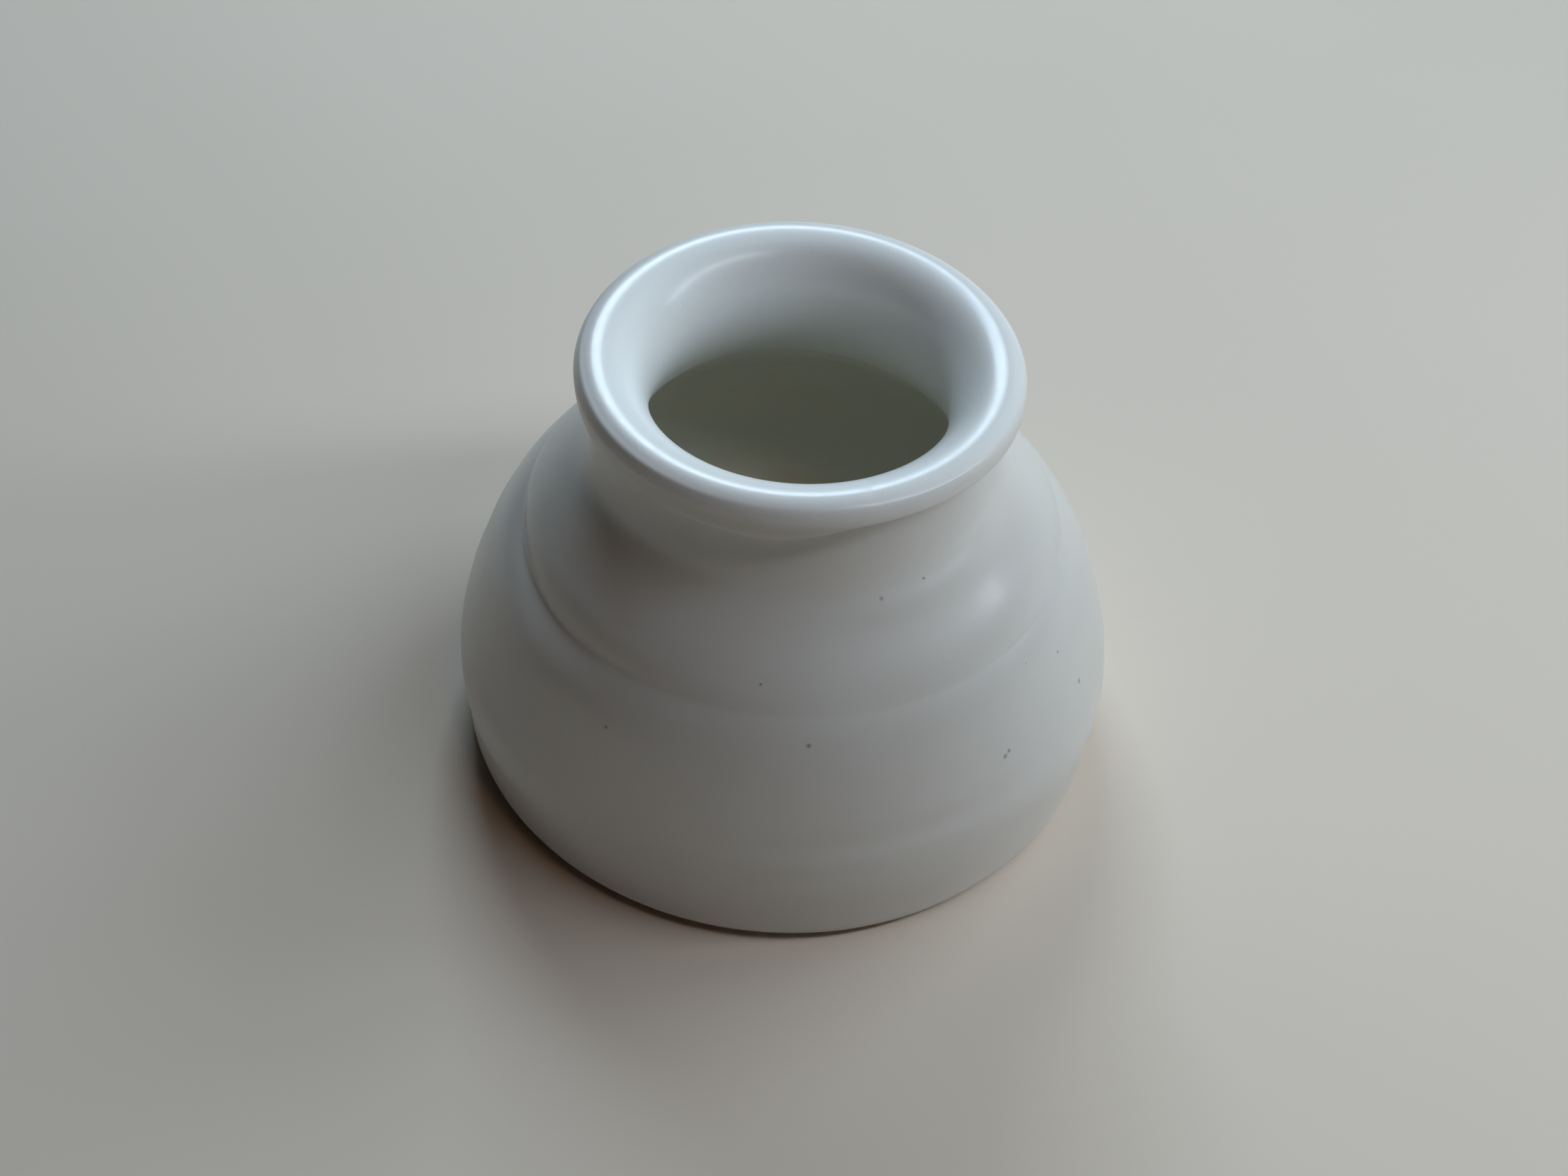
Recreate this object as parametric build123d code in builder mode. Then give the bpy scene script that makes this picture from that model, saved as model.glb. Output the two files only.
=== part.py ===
from build123d import *
from math import asin, cos, degrees, radians, sin
import os

# A small wheel-thrown bud vase: a squat belly, a sloping shoulder with one crease, a short neck
# and a thick rolled lip that flares down into the throat. The clay is thrown in one piece. Glaze
# is poured inside and out, and the two coats meet on the crest of the lip.
# Millimetres. The axis of the vase is Z, and it stands on Z = 0.

# ---- driving dimensions ----
HEIGHT = 64.0
LIP_RADIUS = 28.8
CREST_RADIUS = 26.1
THROAT_RADIUS = 19.4
NECK_RADIUS = 26.2
CREASE_RADIUS = 36.6
BELLY_RADIUS = 45.3
FOOT_RADIUS = 41.2
RECESS_RADIUS = 34.5

THROAT_HEIGHT = 55.0
NECK_HEIGHT = 52.5
CREASE_HEIGHT = 36.1
BELLY_HEIGHT = 11.5
FLOOR_HEIGHT = 6.0
RECESS_DEPTH = 1.6

LIP_RISE = 2.4           # from the widest point of the lip up to its crest
LIP_UNDER_DROP = 3.4     # from the widest point down to the underside of the roll
LIP_UNDER_WIDTH = 2.6
LIP_UNDER_ANGLE = 62.0   # how far round the underside the roll runs before it meets the neck
BASE_CORNER = 3.3        # rounding between the foot and the belly wall
GLAZE = 0.4              # thickness of each glaze coat
BARE_HEIGHT = 0.5        # below this the foot is wiped clean of glaze

LIP_WIDEST_HEIGHT = HEIGHT - LIP_RISE
BARE_ANGLE = degrees(asin(1 - BARE_HEIGHT / BASE_CORNER))

# ---- free points of the wall: radius, height, and the direction that the surface faces there,
# in degrees up from straight outwards ----
BELLY_POINTS = [(BELLY_RADIUS, BELLY_HEIGHT, 0), (43.2, 22.5, 16), (39.9, 31.0, 29)]
CREASE_POINT = (CREASE_RADIUS, CREASE_HEIGHT, 36)
SHOULDER_POINTS = [(31.4, 42.3, 40), (26.8, 48.5, 24), (NECK_RADIUS, NECK_HEIGHT, 0)]
HOLLOW_POINTS = [
    (THROAT_RADIUS, THROAT_HEIGHT, 180),
    (21.8, 46.8, 209),
    (29.3, 37.8, 220),
    (36.6, 27.0, 207),
    (39.5, 16.0, 177),
    (35.5, 8.6, 125),
    (24.0, 6.5, 95),
    (0, FLOOR_HEIGHT, 90),
]
BELLY_MEETS_CREASE = (-0.84, 1)
SHOULDER_LEAVES_CREASE = (-0.6, 1)


def sunk(point, depth):
    """The place that lies depth below the surface at one of the wall's points."""
    radius, height, facing = point
    return (radius - depth * cos(radians(facing)), height - depth * sin(radians(facing)))


def outside_line(depth):
    """From the glaze line by the foot up to the lip's crest, depth below the outer surface.
    Returns its first and last edges."""
    base = CenterArc((FOOT_RADIUS, BASE_CORNER), BASE_CORNER - depth, -BARE_ANGLE, BARE_ANGLE)
    crease = sunk(CREASE_POINT, depth)
    Spline(
        base @ 1,
        *[sunk(point, depth) for point in BELLY_POINTS],
        crease,
        tangents=[base % 1, BELLY_MEETS_CREASE],
    )
    under_roll = EllipticalCenterArc(
        (LIP_RADIUS - LIP_UNDER_WIDTH, LIP_WIDEST_HEIGHT),
        LIP_UNDER_WIDTH - depth,
        LIP_UNDER_DROP - depth,
        -LIP_UNDER_ANGLE,
        arc_size=LIP_UNDER_ANGLE,
    )
    Spline(
        crease,
        *[sunk(point, depth) for point in SHOULDER_POINTS],
        under_roll @ 0,
        tangents=[SHOULDER_LEAVES_CREASE, under_roll % 0],
    )
    over_roll = EllipticalCenterArc(
        (CREST_RADIUS, LIP_WIDEST_HEIGHT),
        LIP_RADIUS - CREST_RADIUS - depth,
        LIP_RISE - depth,
        0,
        arc_size=90,
    )
    return base, over_roll


def inside_line(depth):
    """From the crest down the flare, round the hollow, to the middle of the floor, depth below
    the inner surface. Returns its first and last edges."""
    flare = EllipticalCenterArc(
        (CREST_RADIUS, THROAT_HEIGHT),
        CREST_RADIUS - THROAT_RADIUS - depth,
        HEIGHT - THROAT_HEIGHT - depth,
        90,
        arc_size=90,
    )
    hollow = Spline(
        *[sunk(point, depth) for point in HOLLOW_POINTS],
        tangents=[(0, -1), (-1, 0)],
    )
    return flare, hollow


def coat_band(line):
    """The outline of one glaze coat, between the surface and the clay under it."""
    surface_start, surface_end = line(0)
    clay_start, clay_end = line(GLAZE)
    Line(surface_start @ 0, clay_start @ 0)
    Line(surface_end @ 1, clay_end @ 1)


# ---- the thrown clay: bare at the foot, and one glaze coat below the surface elsewhere ----
with BuildPart() as clay_body:
    with BuildSketch(Plane.XZ):
        with BuildLine():
            glazed_start, _ = outside_line(GLAZE)
            _, floor = inside_line(GLAZE)
            bare_corner = CenterArc(
                (FOOT_RADIUS, BASE_CORNER), BASE_CORNER, -90, 90 - BARE_ANGLE
            )
            Line(bare_corner @ 1, glazed_start @ 0)
            Polyline(
                floor @ 1,
                (0, RECESS_DEPTH),
                (RECESS_RADIUS - RECESS_DEPTH, RECESS_DEPTH),
                (RECESS_RADIUS, 0),
                bare_corner @ 0,
            )
        make_face()
    revolve(axis=Axis.Z)

# ---- the glaze poured inside ----
with BuildPart() as liner_glaze:
    with BuildSketch(Plane.XZ):
        with BuildLine():
            coat_band(inside_line)
        make_face()
    revolve(axis=Axis.Z)

# ---- the glaze on the outside ----
with BuildPart() as outer_glaze:
    with BuildSketch(Plane.XZ):
        with BuildLine():
            coat_band(outside_line)
        make_face()
    revolve(axis=Axis.Z)

clay_body.part.label = "clay_body"
liner_glaze.part.label = "liner_glaze"
outer_glaze.part.label = "outer_glaze"

os.makedirs("parts", exist_ok=True)
export_step(clay_body.part, "parts/clay_body.step")
export_step(liner_glaze.part, "parts/liner_glaze.step")
export_step(outer_glaze.part, "parts/outer_glaze.step")
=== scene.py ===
import math

import bpy
import numpy as np
from mathutils import Matrix, Vector, noise


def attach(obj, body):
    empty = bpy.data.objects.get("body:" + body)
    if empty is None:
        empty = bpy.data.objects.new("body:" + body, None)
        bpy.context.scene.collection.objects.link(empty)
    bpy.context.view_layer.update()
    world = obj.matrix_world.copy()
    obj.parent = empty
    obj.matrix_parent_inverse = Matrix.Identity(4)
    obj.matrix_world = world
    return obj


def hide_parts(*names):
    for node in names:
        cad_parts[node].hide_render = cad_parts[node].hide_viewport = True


# The looks of a small wheel-thrown bud vase. The three CAD layers, clay, liner glaze and outer
# glaze, are each replaced by a mesh of the same profile with the unevenness of a thrown pot.
# Profiles are drawn in millimetres as (radius, height) and built in metres.

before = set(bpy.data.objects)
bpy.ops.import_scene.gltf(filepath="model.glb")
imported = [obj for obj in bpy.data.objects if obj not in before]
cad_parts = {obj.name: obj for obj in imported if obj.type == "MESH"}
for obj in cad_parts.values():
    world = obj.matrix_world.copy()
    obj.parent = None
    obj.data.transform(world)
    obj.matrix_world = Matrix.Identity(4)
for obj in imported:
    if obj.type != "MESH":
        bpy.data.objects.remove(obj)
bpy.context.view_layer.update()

MM = 0.001
AROUND = 280                 # columns round the axis
CLAY_ROW_STEP = 3            # the clay under a glaze has one row for this many of the glaze's
FLOOR_HALF_SIDE = 3.0        # metres
LIGHTS_AIM = Vector((0, 0, 0.035))

# ---- profile, as in the CAD ----
HEIGHT = 64.0
LIP_RADIUS = 28.8
CREST_RADIUS = 26.1
THROAT_RADIUS = 19.4
THROAT_HEIGHT = 55.0
BELLY_RADIUS = 45.3
FOOT_RADIUS = 41.2
RECESS_RADIUS = 34.5
RECESS_DEPTH = 1.6
RECESS_EDGE = 0.4            # radius of the foot's inner edge
RECESS_TOP_RADIUS = RECESS_RADIUS - RECESS_DEPTH + 0.1
FLOOR_HEIGHT = 6.0
CREASE = (36.6, 36.1)
LIP_RISE = 2.4
LIP_UNDER_DROP = 3.4
LIP_UNDER_WIDTH = 2.6
LIP_UNDER_ANGLE = math.radians(62.0)
BASE_CORNER = 3.3
GLAZE = 0.4
BARE_HEIGHT = 0.5
LIP_WIDEST_HEIGHT = HEIGHT - LIP_RISE
CREST_BLEND_HEIGHT = 63.2    # from here up to the crest the relief fades out
BARE_ANGLE = math.asin(1 - BARE_HEIGHT / BASE_CORNER)
BELLY_POINTS = [(BELLY_RADIUS, 11.5), (43.2, 22.5), (39.9, 31.0)]
SHOULDER_POINTS = [(31.4, 42.3), (26.8, 48.5), (26.2, 52.5)]
HOLLOW_POINTS = [
    (THROAT_RADIUS, THROAT_HEIGHT), (21.8, 46.8), (29.3, 37.8), (36.6, 27.0), (39.5, 16.0),
    (35.5, 8.6), (24.0, 6.5), (0.0, FLOOR_HEIGHT),
]


# ======== curves ========

def unit(vector):
    return np.array(vector, float) / np.linalg.norm(vector)


def spline(points, start, end, steps):
    """The smooth cubic through points that leaves along start and arrives along end."""
    p = np.array(points, float)
    span = np.linalg.norm(np.diff(p, axis=0), axis=1)
    n = len(p)
    a = np.eye(n)
    b = np.zeros((n, 2))
    b[0], b[-1] = unit(start), unit(end)
    for i in range(1, n - 1):
        before, after = 1 / span[i - 1], 1 / span[i]
        a[i, i - 1], a[i, i], a[i, i + 1] = before, 2 * (before + after), after
        b[i] = 3 * ((p[i] - p[i - 1]) * before**2 + (p[i + 1] - p[i]) * after**2)
    slope = np.linalg.solve(a, b)
    along = np.linspace(0, span.sum(), steps + 1)
    ends = np.concatenate([[0], np.cumsum(span)])
    k = np.clip(np.searchsorted(ends, along, side="right") - 1, 0, n - 2)
    h = span[k][:, None]
    t = ((along - ends[k]) / span[k])[:, None]
    return (
        (2 * t**3 - 3 * t**2 + 1) * p[k]
        + (t**3 - 2 * t**2 + t) * h * slope[k]
        + (3 * t**2 - 2 * t**3) * p[k + 1]
        + (t**3 - t**2) * h * slope[k + 1]
    )


def arc(centre, radii, start, end, steps):
    t = np.linspace(start, end, steps + 1)
    return np.stack([centre[0] + radii[0] * np.cos(t), centre[1] + radii[1] * np.sin(t)], axis=1)


def joined(*pieces):
    """Curves that follow on from each other, as one, without the doubled points."""
    return np.concatenate([pieces[0]] + [piece[1:] for piece in pieces[1:]])


def facing(line):
    """The unit direction that each point of a profile line faces, away from the clay."""
    along = np.gradient(line, axis=0)
    normal = np.stack([along[:, 1], -along[:, 0]], axis=1)
    return normal / np.linalg.norm(normal, axis=1)[:, None]


def smooth_step(low, high, x):
    t = np.clip((x - low) / (high - low), 0, 1)
    return t * t * (3 - 2 * t)


def hump(x, centre, width):
    return np.exp(-(((x - centre) / width) ** 2))


def hump_round(angle, centre, width):
    """A hump at one side of the pot. All three are in degrees."""
    return one_sided(angle, centre, width, width)


def one_sided(angle, centre, before, after):
    """The same, with its own width on either side of the centre."""
    away = (angle - centre + 180) % 360 - 180
    return np.exp(-((away / np.where(away < 0, before, after)) ** 2))


# ======== the two surfaces of the pot ========

def outer_line():
    """From the glaze line up to the crest."""
    corner = arc((FOOT_RADIUS, BASE_CORNER), (BASE_CORNER, BASE_CORNER), -BARE_ANGLE, 0, steps=10)
    belly = spline([corner[-1], *BELLY_POINTS, CREASE], (0, 1), (-0.84, 1), steps=80)
    under_roll = arc(
        (LIP_RADIUS - LIP_UNDER_WIDTH, LIP_WIDEST_HEIGHT),
        (LIP_UNDER_WIDTH, LIP_UNDER_DROP),
        -LIP_UNDER_ANGLE,
        0,
        steps=28,
    )
    shoulder = spline(
        [CREASE, *SHOULDER_POINTS, under_roll[0]],
        (-0.6, 1),
        under_roll[1] - under_roll[0],
        steps=110,
    )
    over_roll = arc(
        (CREST_RADIUS, LIP_WIDEST_HEIGHT),
        (LIP_RADIUS - CREST_RADIUS, LIP_RISE),
        0,
        math.pi / 2,
        steps=30,
    )
    return joined(corner, belly, shoulder, under_roll, over_roll)


def inner_line():
    """From the crest down to the middle of the floor."""
    flare = arc(
        (CREST_RADIUS, THROAT_HEIGHT),
        (CREST_RADIUS - THROAT_RADIUS, HEIGHT - THROAT_HEIGHT),
        math.pi / 2,
        math.pi,
        steps=70,
    )
    hollow = spline(HOLLOW_POINTS, (0, -1), (-1, 0), steps=180)
    return joined(flare, hollow)


def underside():
    """From just under the glaze line, round the foot and in over the recess."""
    corner = arc(
        (FOOT_RADIUS, BASE_CORNER),
        (BASE_CORNER, BASE_CORNER),
        -BARE_ANGLE,
        -math.pi / 2,
        steps=8,
    )
    inner_edge = arc(
        (RECESS_RADIUS + RECESS_EDGE, RECESS_EDGE),
        (RECESS_EDGE, RECESS_EDGE),
        -math.pi / 2,
        -math.pi * 0.75,
        steps=4,
    )
    recess_start = (RECESS_TOP_RADIUS, RECESS_DEPTH)
    recess = spline([recess_start, (1.0, RECESS_DEPTH)], (-1, 0), (-1, 0), steps=60)
    return np.concatenate([corner[1:], inner_edge, recess])


def slow_noise(radius, height, angles, across, up, seed):
    """Gentle noise over a turned surface, in -1 to 1, with its own scales round and up the pot."""
    values = np.empty((len(radius), len(angles)))
    c, s = np.cos(angles), np.sin(angles)
    for i, (r, z) in enumerate(zip(radius, height)):
        for j in range(len(angles)):
            place = Vector((r * c[j] / across, r * s[j] / across, z / up + seed))
            values[i, j] = noise.noise(place)
    return values


def sag(z, degrees):
    """How far the hand-turned rim hangs below a true circle, with one small nick in it."""
    turn = np.radians(degrees)
    wave = 0.09 * (1 + np.sin(2 * turn + 0.7)) + 0.05 * (1 + np.sin(3 * turn + 2.1))
    nick = 0.06 * hump_round(degrees, 291.5, 1.2)
    return wave * smooth_step(50, 60, z) + nick * smooth_step(63, 64, z)


def outer_surface(angles):
    """Radius and height of the outer surface, rows from glaze line to crest by angles."""
    line = outer_line()
    normal = facing(line)
    degrees = np.degrees(angles)[None, :]
    r, z = line[:, 0][:, None], line[:, 1][:, None]
    along = np.concatenate([[0], np.cumsum(np.linalg.norm(np.diff(line, axis=0), axis=1))])

    # hand wobble and faint throwing marks that climb in a spiral
    relief = 0.10 * slow_noise(line[:, 0], line[:, 1], angles, 34.0, 26.0, 3.0)
    marks = np.clip(slow_noise(line[:, 0], line[:, 1], angles, 26.0, 9.0, 41.0) + 0.25, 0, 1)
    on_body = smooth_step(3, 8, z) * (1 - smooth_step(50, 56, z))
    relief += 0.075 * marks * on_body * np.sin(2 * math.pi * z / 5.6 - angles[None, :])

    # the crease, which wanders in height, is deepest at the left and fills in at the front
    crease_row = int(np.argmin(np.hypot(line[:, 0] - CREASE[0], line[:, 1] - CREASE[1])))
    drift = -0.7 * hump_round(degrees, 213, 24) + 0.15 * np.cos(angles)[None, :]
    above = along[:, None] - along[crease_row] - drift
    depth = (
        0.28
        + 1.30 * one_sided(degrees, 205, 50, 30)
        + 0.26 * one_sided(degrees, 345, 32, 50)
        - 0.40 * hump_round(degrees, 280, 28)
    )
    reach = np.where(above > 0, 2.0, 4.2)
    relief -= depth * np.exp(-np.sqrt(above**2 + 0.04) / reach)

    # the lip: drawn out into a fine ridge at the left, thin with a flat face at the right front
    outward, upward = line[:, 0] - CREST_RADIUS, line[:, 1] - LIP_WIDEST_HEIGHT
    roll = np.degrees(np.arctan2(upward, outward))[:, None]
    on_roll = smooth_step(57.6, 58.4, z)
    thin = one_sided(degrees, 298, 20, 31)
    arris = one_sided(degrees, 318, 17, 34)
    deep = one_sided(degrees, 222, 46, 36)
    ridge = smooth_step(56.9, 57.7, z) * (1 - smooth_step(58.0, 61.5, z))
    relief += deep * (0.62 * ridge + 0.16 * hump(z, 57.9, 0.4) - 0.14 * hump(z, 58.9, 0.55))
    relief += on_roll * arris * (0.12 * hump(roll, 38, 11) - 0.30 * hump(roll, 4, 19))
    relief += on_roll * 0.16 * one_sided(degrees, 205, 50, 45) * hump(roll, 42, 14)
    relief += thin * (0.12 * hump(z, 58.9, 0.5) - 0.35 * hump(z, 57.6, 0.9))
    drop = 0.2 - 2.0 * thin + 0.4 * hump_round(degrees, 266, 14)
    under = (1 - smooth_step(58.6, 61.4, z)) * smooth_step(52.5, 57.5, z)

    # a ledge where the shoulder turns up into the neck at the right, a swelling under the crease
    # at the left, and a low ring round the front
    ledge = 45.4 + 1.4 * hump_round(degrees, 350, 28)
    relief += 0.42 * one_sided(degrees, 310, 22, 34) * hump(z, ledge, 1.7)
    relief += 0.26 * one_sided(degrees, 220, 36, 30) * hump(z, 30.5, 3.2)
    low_ring = one_sided(degrees, 296, 45, 46)
    relief += low_ring * (0.06 * hump(z, 16.6, 2.0) - 0.13 * hump(z, 19.1, 1.5))

    # the glaze thins to nothing at its lower edge
    relief -= (GLAZE - 0.03) * (1 - smooth_step(0, 0.8, along))[:, None]
    # where the pot is widest or highest it stays inside the CAD's size
    relief -= 0.12 * hump(z, BELLY_POINTS[0][1], 9)
    relief *= 1 - smooth_step(CREST_BLEND_HEIGHT, HEIGHT, z)
    return r + relief * normal[:, :1], z + relief * normal[:, 1:] - drop * under - sag(z, degrees)


def inner_surface(angles):
    """Radius and height of the inner surface, rows from crest to the middle of the floor."""
    line = inner_line()
    normal = facing(line)
    normal[0], normal[-1] = (0, 1), (0, 1)
    degrees = np.degrees(angles)[None, :]
    r, z = line[:, 0][:, None], line[:, 1][:, None]
    from_middle = smooth_step(0, 12, r)
    relief = 0.10 * slow_noise(line[:, 0], line[:, 1], angles, 30.0, 18.0, 17.0) * from_middle
    in_belly = 1 - smooth_step(44, 52, z)
    marks = np.clip(slow_noise(line[:, 0], line[:, 1], angles, 30.0, 12.0, 71.0) + 0.6, 0, 1.2)
    climbing = np.where(z > 8, z, 8 - (35 - np.minimum(r, 35)) * 0.9)
    strong = 0.08 + 0.24 * hump_round(degrees, 160, 40) * (1 - smooth_step(37, 44, z))
    relief += strong * marks * in_belly * from_middle * np.sin(
        2 * math.pi * climbing / 4.8 - angles[None, :]
    )
    relief *= 1 - smooth_step(CREST_BLEND_HEIGHT, HEIGHT, z)
    return r + relief * normal[:, :1], z + relief * normal[:, 1:] - sag(z, degrees)


# ======== meshes ========

def placed(radius, height, angles):
    """Points of a turned grid, in metres, rows by angles by 3."""
    x = radius * np.cos(angles)
    y = radius * np.sin(angles)
    return np.stack([x, y, np.broadcast_to(height, x.shape)], axis=-1) * MM


def turned(name, rows, closed, sharp_rows):
    """A mesh from a grid of points, rows by columns. A closed one joins its last row to its
    first, and its rows run up the outside. One that isn't ends in a point on the axis at either
    end, and its rows run up the inside."""
    count, columns = rows.shape[:2]
    points = rows.reshape(-1, 3)
    row, column = np.meshgrid(np.arange(count), np.arange(columns), indexing="ij")
    index = row * columns + column
    right = np.roll(index, -1, axis=1)
    if closed:
        quads = np.stack(
            [index, right, np.roll(right, -1, axis=0), np.roll(index, -1, axis=0)], axis=-1
        )
        faces = quads.reshape(-1, 4).tolist()
    else:
        quads = np.stack([index[:-1], index[1:], right[1:], right[:-1]], axis=-1)
        faces = quads.reshape(-1, 4).tolist()
        poles = np.array([[0, 0, rows[0, :, 2].mean()], [0, 0, rows[-1, :, 2].mean()]])
        points = np.concatenate([points, poles])
        first, last = len(points) - 2, len(points) - 1
        faces += [[first, index[0, j], right[0, j]] for j in range(columns)]
        faces += [[last, right[-1, j], index[-1, j]] for j in range(columns)]
    mesh = bpy.data.meshes.new(name)
    mesh.from_pydata(points.tolist(), [], faces)
    mesh.validate()
    mesh.shade_smooth()
    ends = np.empty(len(mesh.edges) * 2, int)
    mesh.edges.foreach_get("vertices", ends)
    edge_rows = ends.reshape(-1, 2) // columns
    sharp = (edge_rows[:, 0] == edge_rows[:, 1]) & np.isin(edge_rows[:, 0], sharp_rows)
    flags = mesh.attributes.new("sharp_edge", "BOOLEAN", "EDGE")
    flags.data.foreach_set("value", sharp)
    piece = bpy.data.objects.new(name, mesh)
    bpy.context.scene.collection.objects.link(piece)
    return piece


def off_axis(surface):
    """A surface's radius and height without its last row, which is on the axis."""
    return surface[0][:-1], surface[1][:-1]


def under_glaze(surface, line, keep):
    """The clay under a glazed surface, at every keep-th row and the last."""
    radius, height = surface
    normal = facing(line)
    rows = sorted(set(range(0, len(line), keep)) | {len(line) - 1})
    return radius[rows] - GLAZE * normal[rows, :1], height[rows] - GLAZE * normal[rows, 1:]


# ======== shader helpers ========

def new_material(name):
    material = bpy.data.materials.new(name)
    material.use_nodes = True
    return material, material.node_tree, material.node_tree.nodes["Principled BSDF"]


def add_node(tree, kind, **settings):
    made = tree.nodes.new(kind)
    for key, value in settings.items():
        setattr(made, key, value)
    return made


def noise_node(tree, where, size_mm, detail, roughness=0.5):
    made = add_node(tree, "ShaderNodeTexNoise")
    made.inputs["Scale"].default_value = 1 / (size_mm * MM)
    made.inputs["Detail"].default_value = detail
    made.inputs["Roughness"].default_value = roughness
    tree.links.new(where, made.inputs["Vector"])
    return made.outputs["Fac"]


def ranged(tree, value, low, high, to_low, to_high):
    made = add_node(tree, "ShaderNodeMapRange")
    for socket, number in zip(
        ("From Min", "From Max", "To Min", "To Max"), (low, high, to_low, to_high)
    ):
        made.inputs[socket].default_value = number
    tree.links.new(value, made.inputs["Value"])
    return made.outputs["Result"]


def maths(tree, operation, first, second):
    made = add_node(tree, "ShaderNodeMath", operation=operation)
    for socket, value in zip(made.inputs, (first, second)):
        if isinstance(value, (int, float)):
            socket.default_value = value
        else:
            tree.links.new(value, socket)
    return made.outputs[0]


def mixed(tree, factor, first, second):
    made = add_node(tree, "ShaderNodeMix", data_type="RGBA")
    tree.links.new(factor, made.inputs["Factor"])
    for socket, value in ((made.inputs["A"], first), (made.inputs["B"], second)):
        if isinstance(value, tuple):
            socket.default_value = (*value, 1)
        else:
            tree.links.new(value, socket)
    return made.outputs["Result"]


def bumped(tree, height, depth_mm, strength, below=None):
    made = add_node(tree, "ShaderNodeBump")
    made.inputs["Strength"].default_value = strength
    made.inputs["Distance"].default_value = depth_mm * MM
    tree.links.new(height, made.inputs["Height"])
    if below is not None:
        tree.links.new(below, made.inputs["Normal"])
    return made.outputs["Normal"]


# ======== materials ========

def speck_mask(tree, where, specks):
    """1 inside any of the listed specks, each a place in metres and a radius in millimetres."""
    mask = None
    for place, radius in specks:
        away = add_node(tree, "ShaderNodeVectorMath", operation="DISTANCE")
        away.inputs[1].default_value = place
        tree.links.new(where, away.inputs[0])
        spot = ranged(tree, away.outputs["Value"], radius * 0.6 * MM, radius * 1.3 * MM, 1, 0)
        mask = spot if mask is None else maths(tree, "MAXIMUM", mask, spot)
    return mask


def scattered_specks(tree, where, spacing_mm, radius, share):
    """A speck in some cells of a Voronoi pattern, its radius a share of the spacing."""
    cells = add_node(tree, "ShaderNodeTexVoronoi")
    cells.inputs["Scale"].default_value = 1 / (spacing_mm * MM)
    tree.links.new(where, cells.inputs["Vector"])
    spot = ranged(tree, cells.outputs["Distance"], radius * 0.5, radius, 1, 0)
    pick = add_node(tree, "ShaderNodeSeparateColor")
    tree.links.new(cells.outputs["Color"], pick.inputs["Color"])
    chosen = maths(tree, "LESS_THAN", pick.outputs["Red"], share)
    return maths(tree, "MULTIPLY", spot, chosen)


def glaze_material(name, light, shade, painted_lighting, complete, start, specks=()):
    """Satin white glaze: faint clouds of colour, a fine orange-peel surface and pinholes, with
    iron specks if any are listed. Between two heights in metres, start, where that begins, and
    complete, it turns to the colour painted_lighting: painted light where that is lighter, painted
    shade where it is darker."""
    material, tree, shader = new_material(name)
    where = add_node(tree, "ShaderNodeTexCoord").outputs["Object"]
    cloud = noise_node(tree, where, size_mm=22.0, detail=3.0)
    colour = mixed(tree, ranged(tree, cloud, 0.35, 0.65, 0, 1), shade, light)
    axes = add_node(tree, "ShaderNodeSeparateXYZ")
    tree.links.new(where, axes.inputs["Vector"])
    # painted lighting by height: painted light on the outer lip's top, painted shade deep in the
    # liner
    colour = mixed(tree, ranged(tree, axes.outputs["Z"], complete, start, 1, 0), colour, painted_lighting)
    mottle = noise_node(tree, where, size_mm=1.6, detail=4.0, roughness=0.6)
    colour = mixed(tree, ranged(tree, mottle, 0.30, 0.75, 0.10, 0), colour, shade)
    if specks:
        scattered = scattered_specks(tree, where, spacing_mm=7.5, radius=0.035, share=0.30)
        spots = maths(tree, "MAXIMUM", scattered, speck_mask(tree, where, specks))
        colour = mixed(tree, maths(tree, "MULTIPLY", spots, 0.6), colour, (0.16, 0.14, 0.11))
    tree.links.new(colour, shader.inputs["Base Color"])
    tree.links.new(ranged(tree, mottle, 0.3, 0.7, 0.29, 0.36), shader.inputs["Roughness"])
    peel = noise_node(tree, where, size_mm=0.9, detail=2.0)
    grain = noise_node(tree, where, size_mm=0.22, detail=2.0)
    pits = scattered_specks(tree, where, spacing_mm=4.2, radius=0.05, share=0.22)
    normal = bumped(tree, peel, depth_mm=0.020, strength=0.6)
    normal = bumped(tree, grain, depth_mm=0.004, strength=0.5, below=normal)
    unpitted = maths(tree, "SUBTRACT", 1.0, pits)
    normal = bumped(tree, unpitted, depth_mm=0.05, strength=0.6, below=normal)
    tree.links.new(normal, shader.inputs["Normal"])
    shader.inputs["IOR"].default_value = 1.5
    shader.inputs["Coat Weight"].default_value = 0.16
    shader.inputs["Coat Roughness"].default_value = 0.16
    return material


def clay_material():
    """Fired stoneware, bare and dry, with sand in it."""
    material, tree, shader = new_material("bare_stoneware")
    where = add_node(tree, "ShaderNodeTexCoord").outputs["Object"]
    cloud = noise_node(tree, where, size_mm=9.0, detail=4.0)
    colour = mixed(tree, cloud, (0.56, 0.47, 0.37), (0.68, 0.60, 0.50))
    sand = scattered_specks(tree, where, spacing_mm=1.1, radius=0.16, share=0.16)
    colour = mixed(tree, maths(tree, "MULTIPLY", sand, 0.6), colour, (0.30, 0.22, 0.15))
    tree.links.new(colour, shader.inputs["Base Color"])
    shader.inputs["Roughness"].default_value = 0.85
    tooth = noise_node(tree, where, size_mm=0.5, detail=5.0, roughness=0.65)
    normal = bumped(tree, tooth, depth_mm=0.08, strength=0.8)
    tree.links.new(normal, shader.inputs["Normal"])
    return material


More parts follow.
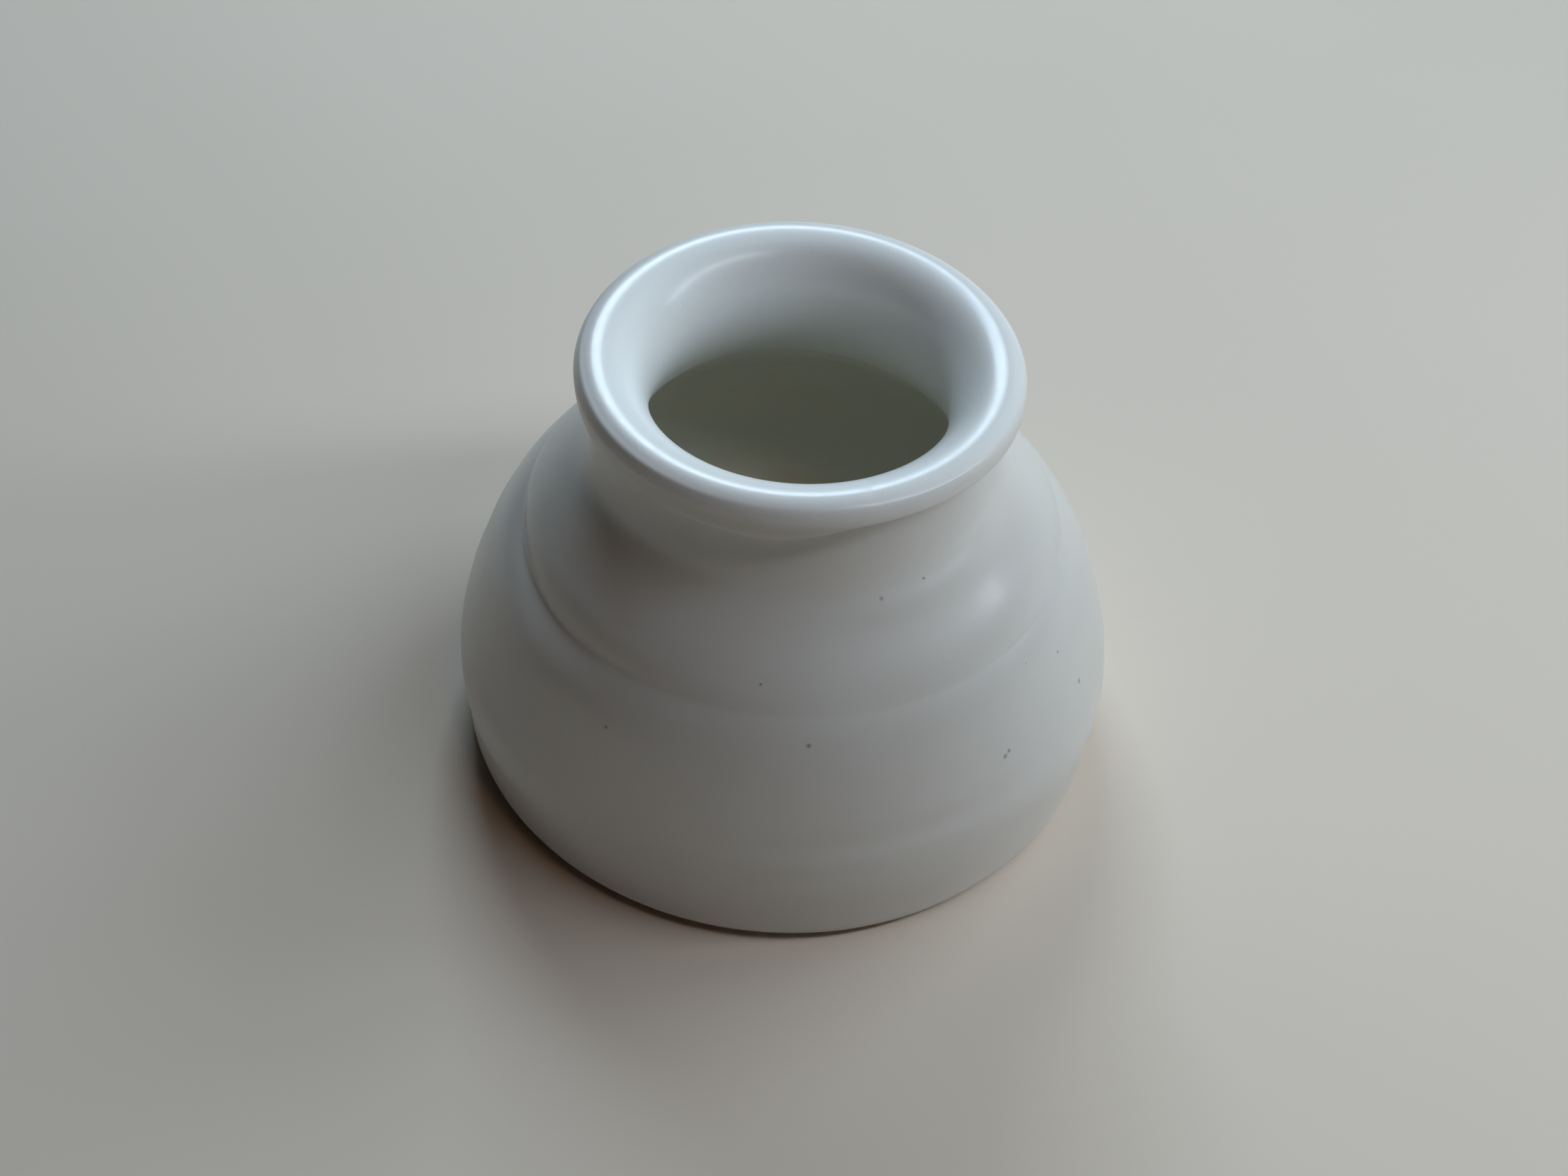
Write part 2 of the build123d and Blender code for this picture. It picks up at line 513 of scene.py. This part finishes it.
def floor_material():
    material, tree, shader = new_material("pale_floor")
    where = add_node(tree, "ShaderNodeTexCoord").outputs["Object"]
    cloud = noise_node(tree, where, size_mm=60.0, detail=2.0)
    colour = mixed(tree, cloud, (0.78, 0.67, 0.56), (0.80, 0.69, 0.58))
    tree.links.new(colour, shader.inputs["Base Color"])
    shader.inputs["Roughness"].default_value = 0.9
    return material


def outer_place(azimuth, height):
    """A point of the outer profile in metres, at an azimuth in degrees and a height in mm."""
    line = outer_line()
    body = line[line[:, 1] < LIP_WIDEST_HEIGHT - LIP_UNDER_DROP]
    radius = np.interp(height, body[:, 1], body[:, 0])
    turn = math.radians(azimuth)
    return (radius * math.cos(turn) * MM, radius * math.sin(turn) * MM, height * MM)


# ======== the pieces ========

def build_pot():
    angles = np.linspace(0, 2 * math.pi, AROUND, endpoint=False)
    outside, inside = outer_surface(angles), inner_surface(angles)
    outer, inner = outer_line(), inner_line()
    clay_outside = under_glaze(outside, outer, CLAY_ROW_STEP)
    clay_inside = under_glaze(inside, inner, CLAY_ROW_STEP)

    # outer glaze: up the surface, over the crest's end and back down on the clay
    shell = placed(
        np.concatenate([outside[0], clay_outside[0][::-1]]),
        np.concatenate([outside[1], clay_outside[1][::-1]]),
        angles,
    )
    top = len(outer) - 1
    outer_glaze = turned("outer_glaze_coat", shell, True, [0, top, top + 1, len(shell) - 1])

    # liner glaze: from the middle of the floor up to the crest and back on the clay
    inside, clay_inside = off_axis(inside), off_axis(clay_inside)
    shell = placed(
        np.concatenate([inside[0][::-1], clay_inside[0]]),
        np.concatenate([inside[1][::-1], clay_inside[1]]),
        angles,
    )
    top = len(inner) - 2
    liner_glaze = turned("liner_glaze_coat", shell, False, [top, top + 1])

    # clay: under the liner, over the crest, down under the outer glaze, then round the foot
    under = underside()
    # faint rings, about 3 mm apart, from turning the recess
    rings = np.where(under[:, 1] >= RECESS_DEPTH, 0.05 * np.sin(under[:, 0] * 2.1), 0)
    flat = np.ones((1, AROUND))
    body = placed(
        np.concatenate([clay_inside[0][::-1], clay_outside[0][::-1], under[:, :1] * flat]),
        np.concatenate([
            clay_inside[1][::-1],
            clay_outside[1][::-1],
            (under[:, 1:] - rings[:, None]) * flat,
        ]),
        angles,
    )
    clay = turned("thrown_clay", body, False, [])
    return outer_glaze, liner_glaze, clay


def iron_specks():
    """Iron specks on the outside: azimuth in degrees, height and radius in millimetres."""
    listed = [
        (295, 46.5, 0.30), (266, 39.2, 0.20), (276, 33.2, 0.30), (314, 24.5, 0.34),
        (315, 24.9, 0.30), (338, 23.8, 0.36), (334, 30.8, 0.22), (238, 29.5, 0.26),
    ]
    return [(outer_place(azimuth, height), radius) for azimuth, height, radius in listed]


outer_glaze, liner_glaze, clay = build_pot()
# The outer satin white turns whiter from 60.6 mm up to 63.2 mm: painted light on the lip's top.
white = glaze_material(
    "satin_white",
    light=(0.73, 0.70, 0.655),
    shade=(0.70, 0.665, 0.615),
    painted_lighting=(0.86, 0.85, 0.82),
    complete=0.0632,
    start=0.0606,
    specks=iron_specks(),
)
# The liner is the outer satin white made lighter, as painted light on its lit flare. From 56 mm
# down to 36 mm it turns olive, as painted shade deep in the hollow.
liner_white_painted_light_shade = glaze_material(
    "satin_white_liner_painted_light_shade",
    light=(0.91, 0.92, 0.90),
    shade=(0.89, 0.89, 0.86),
    painted_lighting=(0.78, 0.76, 0.64),
    complete=0.036,
    start=0.056,
)
for piece, node, slot, material in (
    (outer_glaze, "outer_glaze", "outer_glaze", white),
    (liner_glaze, "liner_glaze", "liner_glaze", liner_white_painted_light_shade),
    (clay, "clay_body", "bare_clay", clay_material()),
):
    piece.data.materials.append(material)
    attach(piece, "root")
    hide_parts(node)


# ======== camera, floor and light ========

def aimed_camera():
    """The camera stands in front, tipped down, with its picture turned a little."""
    distance, tip, turn = 0.3274, math.radians(44.77), math.radians(3.85)
    target = Vector((0, 0, 0.0306))
    forward = Vector((0, math.cos(tip), -math.sin(tip)))
    level_up = Vector((0, math.sin(tip), math.cos(tip)))
    level_right = Vector((1, 0, 0))
    right = level_right * math.cos(turn) + level_up * math.sin(turn)
    up = level_up * math.cos(turn) - level_right * math.sin(turn)
    data = bpy.data.cameras.new("camera")
    data.lens = 55.33
    data.sensor_width = 36
    data.shift_x = -0.0037
    data.shift_y = -0.0305
    data.clip_start = 0.01
    camera = bpy.data.objects.new("camera", data)
    axes = Matrix((right, up, -forward)).transposed().to_4x4()
    camera.matrix_world = Matrix.Translation(target - forward * distance) @ axes
    bpy.context.scene.collection.objects.link(camera)
    bpy.context.scene.camera = camera


def direction(azimuth, elevation):
    """The unit vector towards an azimuth and elevation in degrees."""
    turn, lift = math.radians(azimuth), math.radians(elevation)
    level = math.cos(lift)
    return Vector((level * math.cos(turn), level * math.sin(turn), math.sin(lift)))


def window_light(name, start, end, distance, width, power, colour, shines=True):
    """A straight soft box that faces the pot. Seen from the pot, it runs from the direction start
    to the direction end, each an azimuth and an elevation in degrees. One that doesn't shine
    only fills, and isn't seen in the glaze."""
    first, last = direction(*start), direction(*end)
    towards = (first + last).normalized()
    long_way = (last - first).normalized()
    data = bpy.data.lights.new(name, "AREA")
    data.shape = "RECTANGLE"
    data.size = 2 * distance * math.tan(first.angle(last) / 2)
    data.size_y = width
    data.energy = power
    data.color = colour
    light = bpy.data.objects.new(name, data)
    light.visible_camera = False
    light.visible_glossy = shines
    axes = Matrix((long_way, towards.cross(long_way), towards)).transposed().to_4x4()
    light.matrix_world = Matrix.Translation(LIGHTS_AIM + towards * distance) @ axes
    bpy.context.scene.collection.objects.link(light)


def pale_floor():
    mesh = bpy.data.meshes.new("floor")
    side = FLOOR_HALF_SIDE
    corners = [(-side, -side, 0), (side, -side, 0), (side, side, 0), (-side, side, 0)]
    mesh.from_pydata(corners, [], [(0, 1, 2, 3)])
    floor = bpy.data.objects.new("floor", mesh)
    floor.data.materials.append(floor_material())
    bpy.context.scene.collection.objects.link(floor)


def faint_room():
    world = bpy.data.worlds.new("room")
    world.use_nodes = True
    world.node_tree.nodes["Background"].inputs["Color"].default_value = (0.90, 0.80, 0.70, 1)
    world.node_tree.nodes["Background"].inputs["Strength"].default_value = 0.006
    bpy.context.scene.world = world


aimed_camera()
pale_floor()
faint_room()
window_light(
    "right_window",
    start=(6, 17),
    end=(-54, 62),
    distance=0.42,
    width=0.05,
    power=0.75,
    colour=(0.76, 0.87, 1.0),
)
window_light(
    "right_fill",
    start=(15, 30),
    end=(60, 30),
    distance=1.40,
    width=0.80,
    power=9.0,
    colour=(0.72, 0.89, 1.0),
    shines=False,
)
window_light(
    "back_window",
    start=(86, 41),
    end=(114, 41),
    distance=0.60,
    width=0.14,
    power=1.50,
    colour=(0.66, 0.84, 1.0),
)
window_light(
    "front_top",
    start=(-78, 68),
    end=(-60, 68),
    distance=0.42,
    width=0.05,
    power=0.07,
    colour=(1.0, 0.66, 0.45),
    shines=False,
)
bpy.context.scene.view_settings.view_transform = "Standard"
